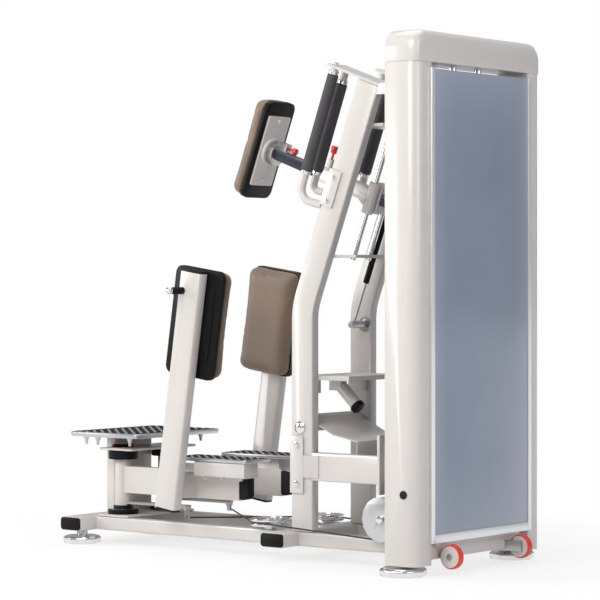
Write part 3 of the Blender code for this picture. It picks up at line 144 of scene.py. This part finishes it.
def grained_leather(name, colour):
    """Upholstery leather: small cells whose creases are darkened as painted shade, over slow colour change."""
    material = surface(name, colour, 0.48, grain=700.0, bump=0.1, mottle=0.10, wear=0.10)
    tree = material.node_tree
    nodes, links = tree.nodes, tree.links
    shader = nodes["Principled BSDF"]
    shader.inputs["Sheen Weight"].default_value = 0.15
    place = next(n for n in nodes if n.type == 'TEX_COORD')
    ramp = next(n for n in nodes if n.type == 'VALTORGB')
    cells = nodes.new("ShaderNodeTexVoronoi")
    cells.feature = 'DISTANCE_TO_EDGE'
    cells.inputs["Scale"].default_value = 420.0
    links.new(place.outputs["Object"], cells.inputs["Vector"])
    crease = nodes.new("ShaderNodeMapRange")
    crease.inputs["From Max"].default_value = 0.18
    links.new(cells.outputs["Distance"], crease.inputs["Value"])
    # Painted shade: the colour is darkened along the creases between the cells, which also drive the bump
    mix = nodes.new("ShaderNodeMix")
    mix.data_type = 'RGBA'
    mix.blend_type = 'MULTIPLY'
    mix.inputs["Factor"].default_value = 0.35
    links.new(ramp.outputs["Color"], mix.inputs[6])
    links.new(crease.outputs["Result"], mix.inputs[7])
    links.new(mix.outputs[2], shader.inputs["Base Color"])
    relief = next(n for n in nodes if n.type == 'BUMP')
    relief.inputs["Strength"].default_value = 0.28
    relief.inputs["Distance"].default_value = 0.0006
    links.new(crease.outputs["Result"], relief.inputs["Height"])
    return material


def painted_edge_reflection(material, centre, half, reflection_colour):
    """Paint a reflection onto a panel: its colour grows paler towards its edges."""
    tree = material.node_tree
    nodes, links = tree.nodes, tree.links
    place = next(n for n in nodes if n.type == 'TEX_COORD')
    ramp = next(n for n in nodes if n.type == 'VALTORGB')
    mapping = nodes.new("ShaderNodeMapping")
    mapping.vector_type = 'POINT'
    scale = [1 / h if h else 0.0 for h in half]
    mapping.inputs["Scale"].default_value = scale
    mapping.inputs["Location"].default_value = [-c * k for c, k in zip(centre, scale)]
    links.new(place.outputs["Object"], mapping.inputs["Vector"])
    squared = nodes.new("ShaderNodeVectorMath")
    squared.operation = 'MULTIPLY'
    links.new(mapping.outputs["Vector"], squared.inputs[0])
    links.new(mapping.outputs["Vector"], squared.inputs[1])
    fourth = nodes.new("ShaderNodeVectorMath")
    fourth.operation = 'MULTIPLY'
    links.new(squared.outputs[0], fourth.inputs[0])
    links.new(squared.outputs[0], fourth.inputs[1])
    total = nodes.new("ShaderNodeVectorMath")
    total.operation = 'LENGTH'
    links.new(fourth.outputs[0], total.inputs[0])
    reflection_share = nodes.new("ShaderNodeMapRange")
    reflection_share.inputs["From Min"].default_value = 0.25
    reflection_share.inputs["From Max"].default_value = 1.3
    reflection_share.inputs["To Max"].default_value = 1.0
    links.new(total.outputs["Value"], reflection_share.inputs["Value"])
    # Painted reflection: the panel's colour is mixed towards a paler blue away from its middle
    mix = nodes.new("ShaderNodeMix")
    mix.data_type = 'RGBA'
    mix.inputs[7].default_value = (*reflection_colour, 1)
    links.new(reflection_share.outputs["Result"], mix.inputs["Factor"])
    links.new(ramp.outputs["Color"], mix.inputs[6])
    links.new(mix.outputs[2], nodes["Principled BSDF"].inputs["Base Color"])


PAINT = surface("powder_coat", (0.575, 0.548, 0.528), 0.30, grain=420, bump=0.012, mottle=0.025,
                coat=0.2, wear=0.05)
SHIELD = surface("shield_panel", (0.205, 0.245, 0.325), 0.22, grain=300, bump=0.02, mottle=0.05, coat=0.3,
                 wear=0.04)
# The shield's paler edges are a painted reflection
painted_edge_reflection(SHIELD, (0, 0, 0.9025), (0, 0.281, 0.766), (0.30, 0.34, 0.42))
CHROME = surface("polished_chrome", (0.78, 0.78, 0.79), 0.14, metal=1.0, grain=600, bump=0.02, mottle=0.03,
                 wear=0.05)
STEEL = brushed("machined_steel", (0.45, 0.445, 0.44), 0.34, (1, 1, 14))
ALUMINIUM = brushed("satin_aluminium", (0.62, 0.62, 0.63), 0.32, (1, 12, 1))
TRIM = surface("bright_trim", (0.80, 0.81, 0.84), 0.30, metal=0.7, grain=300, bump=0.0, mottle=0.03,
               wear=0.04)
BLACK = surface("black_moulding", (0.006, 0.006, 0.0065), 0.42, grain=800, bump=0.12, mottle=0.15, shine=0.14)
RUBBER = surface("black_rubber", (0.012, 0.012, 0.013), 0.7, grain=600, bump=0.25, mottle=0.2, shine=0.2)
TREAD = surface("tread_rubber", (0.011, 0.011, 0.012), 0.6, grain=900, bump=0.3, mottle=0.2, shine=0.2)
GRIP = surface("foam_grip", (0.060, 0.056, 0.066), 0.78, grain=1300, bump=0.5, mottle=0.12)
RED = surface("red_tyre", (0.72, 0.035, 0.020), 0.42, grain=500, bump=0.08, mottle=0.08)
KNOB = surface("red_knob", (0.66, 0.02, 0.015), 0.25, grain=500, bump=0.04, mottle=0.06, coat=0.4)
HUB = surface("pale_hub", (0.62, 0.60, 0.56), 0.4, grain=500, bump=0.05, mottle=0.05)
IRON = surface("painted_iron", (0.028, 0.028, 0.03), 0.5, grain=260, bump=0.35, mottle=0.25)
BAR = surface("blue_black_bar", (0.030, 0.038, 0.058), 0.3, metal=0.4, grain=900, bump=0.05, mottle=0.1,
              coat=0.3)
CABLE = surface("cable_sheath", (0.015, 0.015, 0.016), 0.4, grain=900, bump=0.1, mottle=0.1)
LEATHER = grained_leather("taupe_leather", (0.207, 0.147, 0.102))
THREAD = surface("seam_thread", (0.17, 0.12, 0.085), 0.7, grain=1500, bump=0.5, mottle=0.1)

FINISH = {"frame_white": PAINT, "chrome": CHROME, "steel": STEEL, "aluminium": ALUMINIUM, "grip_rubber": GRIP,
          "black_plastic": BLACK, "black_steel": BLACK, "tan_leather": LEATHER, "cable_black": CABLE,
          "wheel_red": RED, "knob_red": KNOB, "shield_blue": SHIELD, "plate_iron": IRON, "bar_blue_grey": BAR}


# Modelling helpers
def deselect():
    for thing in list(bpy.context.selected_objects):
        thing.select_set(False)


def only(piece):
    deselect()
    piece.select_set(True)
    bpy.context.view_layer.objects.active = piece


def soften(piece, width, segments=2, angle=40):
    """Round a piece's edges with a bevel, and shade its round faces smooth."""
    only(piece)
    if width:
        bevel = piece.modifiers.new("edges", 'BEVEL')
        bevel.width = width
        bevel.segments = segments
        bevel.limit_method = 'ANGLE'
        bevel.angle_limit = math.radians(angle)
        bpy.ops.object.modifier_apply(modifier=bevel.name)
    bpy.ops.object.shade_smooth_by_angle(angle=math.radians(38))


def own(piece, name, material, body):
    piece.name = name
    piece.data.name = name
    piece.data.materials.clear()
    piece.data.materials.append(material)
    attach(piece, body)
    return piece


def dressed(node, bevel=0.0, material=None, name=None):
    """A merged copy of a node with eased edges and smooth round faces, which stands for the node."""
    source = frame["nodes"][node]
    piece = bpy.data.objects.new(name or node + "_skin", source.data.copy())
    bpy.context.collection.objects.link(piece)
    piece.matrix_world = source.matrix_world
    only(piece)
    bpy.ops.object.transform_apply(location=True, rotation=True, scale=True)
    bpy.ops.object.mode_set(mode='EDIT')
    bpy.ops.mesh.select_all(action='SELECT')
    bpy.ops.mesh.remove_doubles(threshold=0.00002)
    bpy.ops.mesh.dissolve_limited(angle_limit=math.radians(0.6))
    bpy.ops.object.mode_set(mode='OBJECT')
    soften(piece, bevel)
    own(piece, piece.name, material or FINISH[SLOT[node]], BODY[node])
    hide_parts(node)
    return piece


def paint(piece, material, test):
    """Give the faces whose centres pass a test another finish."""
    piece.data.materials.append(material)
    index = len(piece.data.materials) - 1
    for face in piece.data.polygons:
        if test(Vector((face.center.x + CENTRE_X, face.center.y, face.center.z))):
            face.material_index = index


def between(low, value, high):
    return low <= value <= high


def near_axis(point, x, y, radius):
    return math.hypot(point.x - x, abs(point.y) - y) < radius


def side_on(point, axis):
    """How far a point is from an axis that runs across the machine."""
    return math.hypot(point.x - axis[0], point.z - axis[1])


def turned_rod(name, start, end, radius, material, body, bevel=0.001, sides=40):
    """A round bar between two points, with eased ends."""
    start, end = Vector(start), Vector(end)
    way = end - start
    deselect()
    bpy.ops.mesh.primitive_cylinder_add(vertices=sides, radius=radius, depth=way.length,
                                        location=(start + end) / 2,
                                        rotation=way.to_track_quat('Z', 'Y').to_euler())
    piece = bpy.context.object
    bpy.ops.object.transform_apply(location=True, rotation=True, scale=True)
    soften(piece, bevel, 3)
    return own(piece, name, material, body)


# Frames, columns and tower: smooth edges, with plastic, chrome and rubber where the real ones have them
base = dressed("base_frame", 0.0012)
paint(base, BLACK, lambda p: abs(p.y) > 0.2755 and p.x < 1.1)
paint(base, CHROME, lambda p: near_axis(p, *GUIDE_AXLE, 0.03) and p.z > 0.1006)
paint(base, CHROME, lambda p: abs(p.y) > 0.1965 and side_on(p, BASE_AXLE) < 0.016)

pivot = dressed("pivot_frame", 0.001)
paint(pivot, BLACK, lambda p: near_axis(p, *PIVOT_AXLE, 0.056) and between(0.309, p.z, 0.3452))

columns = dressed("column_frame", 0.0012)
paint(columns, CHROME, lambda p: abs(p.y) > 0.1905 and side_on(p, COLUMN_BOSS) < 0.0225)
paint(columns, CHROME, lambda p: abs(p.y) > 0.1985 and p.z > 1.1)
paint(columns, BLACK, lambda p: (Vector((p.x, 0, p.z)) - STOP_FOOT).dot(STOP_WAY) > 0.084
      and between(0.49, p.z, 0.575) and abs(p.y) < 0.03)

beams = dressed("mid_beams", 0.001)
paint(beams, CHROME, lambda p: abs(p.y) > 0.1985 and p.x < 1.1)

tower = dressed("tower_frame", 0.0015)
paint(tower, RUBBER, lambda p: abs(p.y) > 0.3763)
paint(tower, STEEL, lambda p: p.x > 1.6155 and p.z < 0.1 and between(0.18, abs(p.y), 0.24))
dressed("tower_hood", 0.002)
dressed("arch_cover", 0.0008)
dressed("front_shield", 0.0012)
dressed("shield_trim", 0.0012, TRIM)

for name, side in SIDES:
    arm = dressed(name + "_swing_arm", 0.0012)
    paint(arm, RUBBER, lambda p: p.x > 0.7003 and p.z < 0.2715 and abs(p.y) < 0.1385)
    paint(arm, BLACK, lambda p: p.z < 0.1455)
    paint(arm, BLACK, lambda p: abs(p.y) > 0.2 and p.z < 0.1575)
    paint(arm, BLACK,
          lambda p: abs(p.y) > 0.2 and (p - Vector((POST_TOP[0], p.y, POST_TOP[1]))).dot(UP_POST) > -0.0005)
    paint(arm, BLACK, lambda p: abs(p.y) > 0.2865 and p.z > 0.9 and side_on(p, PAD_PIN) < 0.0135)
    paint(arm, STEEL, lambda p: p.z < 0.158 and p.x > 0.16 and abs(p.y) < 0.2)
    dressed(name + "_handle", 0.0)
    dressed(name + "_pivot_axle", 0.001)
    axle = bpy.data.objects[name + "_pivot_axle_skin"]
    paint(axle, BLACK, lambda p: p.z < 0.1402 and not near_axis(p, *PIVOT_AXLE, 0.0152))
    for which in ("rear_foot", "front_foot"):
        dressed(name + "_" + which, 0.0015)
    for which in ("guide_rod", "weight_rod"):
        dressed(name + "_" + which, 0.0)
    for which in ("base_pulley", "top_pulley"):
        dressed(name + "_" + which, 0.0005)
    dressed(name + "_pad_board", 0.0012)
    dressed(name + "_pad_pin", 0.0)
    dressed(name + "_cable", 0.0)
    dressed(name + "_foot_plate", 0.0008)
    wheel = dressed(name + "_wheel", 0.0)
    paint(wheel, HUB, lambda p: side_on(p, WHEEL_AXLE) < 0.030 and abs(abs(p.y) - WHEEL_Y) > 0.0138)

for node in ("step_plate", "carriage_block", "chest_arm", "swivel_plate", "chest_board", "strut_rod",
             "strut_cylinder",
             "chest_lock_pin", "swivel_pin", "selector_pin", "resting_plates", "lifted_plates"):
    dressed(node, 0.0007)

# The chest arm's turning head is bare steel, and only its bar is blue-black
arm_head = bpy.data.objects["chest_arm_skin"]
paint(arm_head, STEEL, lambda p: (p - SWIVEL).dot(OUT_COLUMN) < 0.022
      or ((p - SWIVEL).dot(UP_COLUMN) > 0.0195 and (p - SWIVEL).dot(OUT_COLUMN) < 0.095))


# Cables: the run that hangs over the stack is a piece of its own
RUN_X, RUN_LOW, RUN_HIGH = 0.7535, 0.6515, 1.5195
for name, side in SIDES:
    cable = bpy.data.objects[name + "_cable_skin"]
    only(cable)
    bpy.ops.object.mode_set(mode='EDIT')
    bpy.ops.mesh.select_mode(type='VERT')
    bpy.ops.mesh.select_all(action='DESELECT')
    mesh = bmesh.from_edit_mesh(cable.data)
    for vertex in mesh.verts:
        vertex.select = vertex.co.x > 0.70 and vertex.co.z < 1.0
    mesh.select_flush(True)
    bmesh.update_edit_mesh(cable.data)
    bpy.ops.mesh.delete(type='VERT')
    bpy.ops.mesh.select_non_manifold()
    bpy.ops.mesh.edge_face_add()
    bpy.ops.mesh.select_all(action='SELECT')
    bpy.ops.mesh.normals_make_consistent(inside=False)
    bpy.ops.object.mode_set(mode='OBJECT')
    run_y = -side * 0.223
    run = turned_rod(name + "_cable_run", (RUN_X, run_y, RUN_LOW), (RUN_X, run_y, RUN_HIGH), 0.003, CABLE,
                     "machine",
                     0.0005, 16)
    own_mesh(run)


# Foam grips: plump sleeves with closed, rounded ends
GRIP_LOW, GRIP_HIGH = Vector((1.030 - CENTRE_X, 0, 1.354)), Vector((1.147 - CENTRE_X, 0, 1.680))
grip_way = (GRIP_HIGH - GRIP_LOW).normalized()
grip_length = (GRIP_HIGH - GRIP_LOW).length
for name, side in SIDES:
    for which, y, shorter in (("outer", 0.172, 0.0), ("inner", 0.108, 0.030)):
        node = name + "_" + which + "_grip"
        start = GRIP_LOW + Vector((0, side * y, 0))
        grip = turned_rod(node + "_foam", start, start + grip_way * (grip_length - shorter), 0.0192, GRIP,
                          BODY[node],
                          bevel=0.004, sides=48)
        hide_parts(node)
        for at in (-0.013, grip_length - shorter + 0.001):
            turned_rod(node + ("_lower" if at < 0 else "_upper") + "_collar", start + grip_way * at,
                              start + grip_way * (at + 0.012), 0.0175, CHROME, BODY[node], 0.0015)


# Guide pulleys: two thick polished cheeks with the cable's groove between them
GROOVE_DEEP, GROOVE_HALF = 0.007, 0.0038
for name, side, low, groove, high in (("near", -1, 0.1115, 0.1240, 0.1365),
                                      ("far", 1, 0.1056, 0.1120, 0.1265)):
    node = name + "_guide_pulley"
    bottom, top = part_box(node)
    radius = (top[0] - bottom[0]) / 2
    centre = (GUIDE_AXLE[0] - CENTRE_X, side * GUIDE_AXLE[1])
    deselect()
    bpy.ops.mesh.primitive_cylinder_add(vertices=56, radius=radius, depth=groove - GROOVE_HALF - low,
                                        location=(*centre, (groove - GROOVE_HALF + low) / 2))
    pulley = bpy.context.object
    bpy.ops.object.transform_apply(location=True, rotation=True, scale=True)
    bpy.ops.object.mode_set(mode='EDIT')
    mesh = bmesh.from_edit_mesh(pulley.data)
    for face in mesh.faces:
        face.select = face.normal.z > 0.9
    bmesh.update_edit_mesh(pulley.data)
    bpy.ops.mesh.inset(thickness=GROOVE_DEEP)
    bpy.ops.mesh.extrude_region_move(TRANSFORM_OT_translate={"value": (0, 0, 2 * GROOVE_HALF)})
    bpy.ops.mesh.extrude_region_move(TRANSFORM_OT_translate={"value": (0, 0, 0)})
    grow = radius / (radius - GROOVE_DEEP)
    bpy.ops.transform.resize(value=(grow, grow, 1), center_override=(*centre, groove))
    bpy.ops.mesh.extrude_region_move(TRANSFORM_OT_translate={"value": (0, 0, high - groove - GROOVE_HALF)})
    bpy.ops.mesh.inset(thickness=0.014)
    bpy.ops.mesh.extrude_region_move(TRANSFORM_OT_translate={"value": (0, 0, -0.0015)})
    bpy.ops.object.mode_set(mode='OBJECT')
    soften(pulley, 0.0008)
    own(pulley, node + "_cheeks", CHROME, BODY[node])
    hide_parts(node)


# Range marker: a black bar with a red cap at each end, on the plate over the near pivot
marker_way = Vector((math.cos(math.radians(38)), math.sin(math.radians(38)), 0))
marker_at = Vector((PIVOT_AXLE[0] - CENTRE_X, -PIVOT_AXLE[1], 0.3592))
turned_rod("range_marker_bar", marker_at - marker_way * 0.034, marker_at + marker_way * 0.034, 0.0055,
           BLACK, "machine")
for end, way in (("left", -1), ("right", 1)):
    turned_rod("range_marker_" + end + "_cap", marker_at + marker_way * way * 0.0342,
               marker_at + marker_way * way * 0.041,
               0.0057, KNOB, "machine", 0.0015)


# Tread inlays: raised rubber diamonds on the step and the foot plates
def tread(name, low, high, top, body, pitch=0.027):
    """A field of diamonds inside a rectangle, each one raised a little over the plate."""
    middle = Vector(((low[0] + high[0]) / 2, (low[1] + high[1]) / 2, top))
    reach = math.hypot(high[0] - low[0], high[1] - low[1])
    count = int(reach / pitch)
    deselect()
    bpy.ops.mesh.primitive_grid_add(x_subdivisions=count, y_subdivisions=count, size=reach, location=middle,
                                    rotation=(0, 0, math.radians(45)))
    piece = bpy.context.object
    bpy.ops.object.transform_apply(location=True, rotation=True, scale=True)
    bpy.ops.object.mode_set(mode='EDIT')
    bpy.ops.mesh.select_mode(type='FACE')
    for point, normal in ((low, (-1, 0, 0)), (low, (0, -1, 0)), (high, (1, 0, 0)), (high, (0, 1, 0))):
        bpy.ops.mesh.select_all(action='SELECT')
        bpy.ops.mesh.bisect(plane_co=(point[0], point[1], top), plane_no=normal, clear_outer=True)
    bpy.ops.mesh.select_all(action='SELECT')
    bpy.ops.mesh.inset(thickness=pitch * 0.20, use_individual=True)
    bpy.ops.mesh.select_all(action='INVERT')
    bpy.ops.mesh.delete(type='FACE')
    bpy.ops.mesh.select_all(action='SELECT')
    bpy.ops.mesh.extrude_region_move(TRANSFORM_OT_translate={"value": (0, 0, 0.0012)})
    bpy.ops.mesh.select_all(action='SELECT')
    bpy.ops.mesh.normals_make_consistent(inside=False)
    bpy.ops.object.mode_set(mode='OBJECT')
    return own(piece, name, TREAD, body)


tread("step_tread", (-0.022 - CENTRE_X, -0.227), (0.290 - CENTRE_X, 0.227), STEP_TOP + 0.0001, "machine")
for name, side in SIDES:
    y0, y1 = sorted((side * 0.070, side * 0.204))
    tread(name + "_foot_tread", (0.455 - CENTRE_X, y0), (0.780 - CENTRE_X, y1), TREAD_TOP + 0.0001,
          name + "_arm", 0.024)


# Cushions
def stuffed(node, cap):
    """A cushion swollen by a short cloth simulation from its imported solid, and capped in how far it moves."""
    source = frame["nodes"][node]
    piece = bpy.data.objects.new(node + "_cover", source.data.copy())
    bpy.context.collection.objects.link(piece)
    piece.matrix_world = source.matrix_world
    only(piece)
    bpy.ops.object.transform_apply(location=True, rotation=True, scale=True)
    bpy.ops.object.mode_set(mode='EDIT')
    bpy.ops.mesh.select_all(action='SELECT')
    bpy.ops.mesh.remove_doubles(threshold=0.00002)
    bpy.ops.object.mode_set(mode='OBJECT')
    remesh = piece.modifiers.new("even", 'REMESH')
    remesh.mode = 'VOXEL'
    remesh.voxel_size = 0.0055
    bpy.ops.object.modifier_apply(modifier=remesh.name)
    rest = [v.co.copy() for v in piece.data.vertices]
    cloth = piece.modifiers.new("stuffing", 'CLOTH')
    cloth.settings.use_pressure = True
    cloth.settings.uniform_pressure_force = 3.0
    cloth.settings.quality = 5
    cloth.settings.effector_weights.gravity = 0.0
    for number in range(1, 17):
        bpy.context.scene.frame_set(number)
    bpy.ops.object.modifier_apply(modifier=cloth.name)
    bpy.context.scene.frame_set(1)
    for vertex, start in zip(piece.data.vertices, rest):
        moved = vertex.co - start
        if moved.length > cap:
            vertex.co = start + moved.normalized() * cap
    smooth = piece.modifiers.new("even_skin", 'SMOOTH')
    smooth.factor = 0.5
    smooth.iterations = 6
    bpy.ops.object.modifier_apply(modifier=smooth.name)
    fine = piece.modifiers.new("fine", 'SUBSURF')
    fine.levels = 1
    fine.render_levels = 1
    bpy.ops.object.modifier_apply(modifier=fine.name)
    bpy.ops.object.shade_smooth()
    own(piece, node + "_cover", LEATHER, BODY[node])
    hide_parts(node)
    return piece


def seam(name, centre, along, across, out, length, width, corner, body):
    """A sewn line round a cushion's side, as a thin tube on a rounded rectangle."""
    points = []
    for quarter, (sx, sy) in enumerate(((1, 1), (-1, 1), (-1, -1), (1, -1))):
        for step in range(9):
            angle = math.radians(90 * quarter + 90 * step / 8)
            points.append(centre + along * (sx * (length / 2 - corner) + corner * math.cos(angle))
                          + across * (sy * (width / 2 - corner) + corner * math.sin(angle)))
    curve = bpy.data.curves.new(name, 'CURVE')
    curve.dimensions = '3D'
    line = curve.splines.new('POLY')
    line.points.add(len(points) - 1)
    for spot, point in zip(line.points, points):
        spot.co = (*point, 1)
    line.use_cyclic_u = True
    curve.bevel_depth = 0.0011
    curve.bevel_resolution = 2
    piece = bpy.data.objects.new(name, curve)
    bpy.context.collection.objects.link(piece)
    only(piece)
    bpy.ops.object.convert(target='MESH')
    piece = bpy.context.object
    bpy.ops.object.shade_smooth()
    return own(piece, name, THREAD, body)


for name, side in SIDES:
    stuffed(name + "_pad_cushion", 0.006)
    centre = Vector((0.572 - CENTRE_X, side * 0.2096, 0.821))
    seam(name + "_pad_seam", centre, UP_POST, Vector((UP_POST.z, 0, -UP_POST.x)), Vector((0, -side, 0)),
         0.3875, 0.2225, 0.032, name + "_pad")
stuffed("chest_cushion", 0.006)
chest_back = SWIVEL - Vector((CENTRE_X, 0, 0)) - OUT_COLUMN * 0.0592
seam("chest_pad_seam", chest_back, UP_COLUMN, Vector((0, 1, 0)), -OUT_COLUMN, 0.3575, 0.1575, 0.030,
     "chest_pad")


# Studio: pale floor and backdrop, soft light, and the photograph's camera
def pale(name, shadow):
    """White to the camera, with a soft shadow left in it."""
    material = bpy.data.materials.new(name)
    material.use_nodes = True
    nodes, links = material.node_tree.nodes, material.node_tree.links
    shader = nodes["Principled BSDF"]
    shader.inputs["Base Color"].default_value = (0.86, 0.86, 0.86, 1)
    shader.inputs["Roughness"].default_value = 0.7
    glow = nodes.new("ShaderNodeEmission")
    rays = nodes.new("ShaderNodeLightPath")
    add = nodes.new("ShaderNodeMath")
    add.operation = 'MAXIMUM'
    links.new(rays.outputs["Is Camera Ray"], add.inputs[0])
    links.new(rays.outputs["Is Glossy Ray"], add.inputs[1])
    place = nodes.new("ShaderNodeTexCoord")
    distance = nodes.new("ShaderNodeVectorMath")
    distance.operation = 'LENGTH'
    links.new(place.outputs["Object"], distance.inputs[0])
    fade = nodes.new("ShaderNodeMapRange")
    fade.interpolation_type = 'SMOOTHSTEP'
    fade.inputs["From Min"].default_value = 0.8
    fade.inputs["From Max"].default_value = 2.0
    fade.inputs["To Min"].default_value = 1 - shadow
    fade.inputs["To Max"].default_value = 1.0
    links.new(distance.outputs["Value"], fade.inputs["Value"])
    scale = nodes.new("ShaderNodeMath")
    scale.operation = 'MULTIPLY'
    links.new(fade.outputs["Result"], scale.inputs[1])
    links.new(add.outputs[0], scale.inputs[0])
    mix = nodes.new("ShaderNodeMixShader")
    links.new(scale.outputs[0], mix.inputs["Fac"])
    links.new(shader.outputs[0], mix.inputs[1])
    links.new(glow.outputs[0], mix.inputs[2])
    links.new(mix.outputs[0], nodes["Material Output"].inputs["Surface"])
    return material


deselect()
bpy.ops.mesh.primitive_plane_add(size=40, location=(0, 0, -0.0005))
floor = bpy.context.object
floor.name = "studio_floor"
floor.data.materials.append(pale("floor_white", 0.25))

world = bpy.data.worlds.new("studio")
bpy.context.scene.world = world
world.use_nodes = True
sky = world.node_tree
background = sky.nodes["Background"]
background.inputs["Color"].default_value = (0.93, 0.95, 1.0, 1)
background.inputs["Strength"].default_value = 0.38
seen = sky.nodes.new("ShaderNodeBackground")
seen.inputs["Color"].default_value = (1, 1, 1, 1)
rays = sky.nodes.new("ShaderNodeLightPath")
choose = sky.nodes.new("ShaderNodeMixShader")
sky.links.new(rays.outputs["Is Camera Ray"], choose.inputs["Fac"])
sky.links.new(background.outputs[0], choose.inputs[1])
sky.links.new(seen.outputs[0], choose.inputs[2])
sky.links.new(choose.outputs[0], sky.nodes["World Output"].inputs["Surface"])


def lamp(name, place, aim, side, watts, colour):
    light = bpy.data.lights.new(name, 'AREA')
    light.size = side
    light.energy = watts
    light.color = colour
    thing = bpy.data.objects.new(name, light)
    bpy.context.collection.objects.link(thing)
    thing.location = place
    thing.rotation_euler = (Vector(aim) - Vector(place)).to_track_quat('-Z', 'Y').to_euler()


lamp("key_lamp", (0.6, -4.2, 3.4), (0, 0, 0.9), 2.6, 150, (1.0, 0.97, 0.93))
lamp("front_lamp", (4.8, -0.6, 2.6), (0.5, 0, 0.9), 2.2, 55, (1.0, 0.98, 0.96))
lamp("rear_lamp", (-4.0, -2.6, 2.2), (0, 0, 0.9), 2.0, 130, (1.0, 0.98, 0.95))
lamp("top_lamp", (0.2, 0.6, 4.6), (0, 0, 0), 3.0, 70, (1.0, 1.0, 1.0))

camera_data = bpy.data.cameras.new("photo_camera")
camera_data.lens = 150
camera_data.sensor_width = 36
camera_data.sensor_fit = 'HORIZONTAL'
camera_data.shift_y = -0.0367
camera_data.clip_end = 100
camera = bpy.data.objects.new("photo_camera", camera_data)
bpy.context.collection.objects.link(camera)
camera.location = (6.348 - CENTRE_X, -7.015, 0.980)
camera.rotation_euler = (math.radians(90), 0, math.radians(38))
bpy.context.scene.camera = camera
bpy.context.scene.view_settings.view_transform = 'Standard'
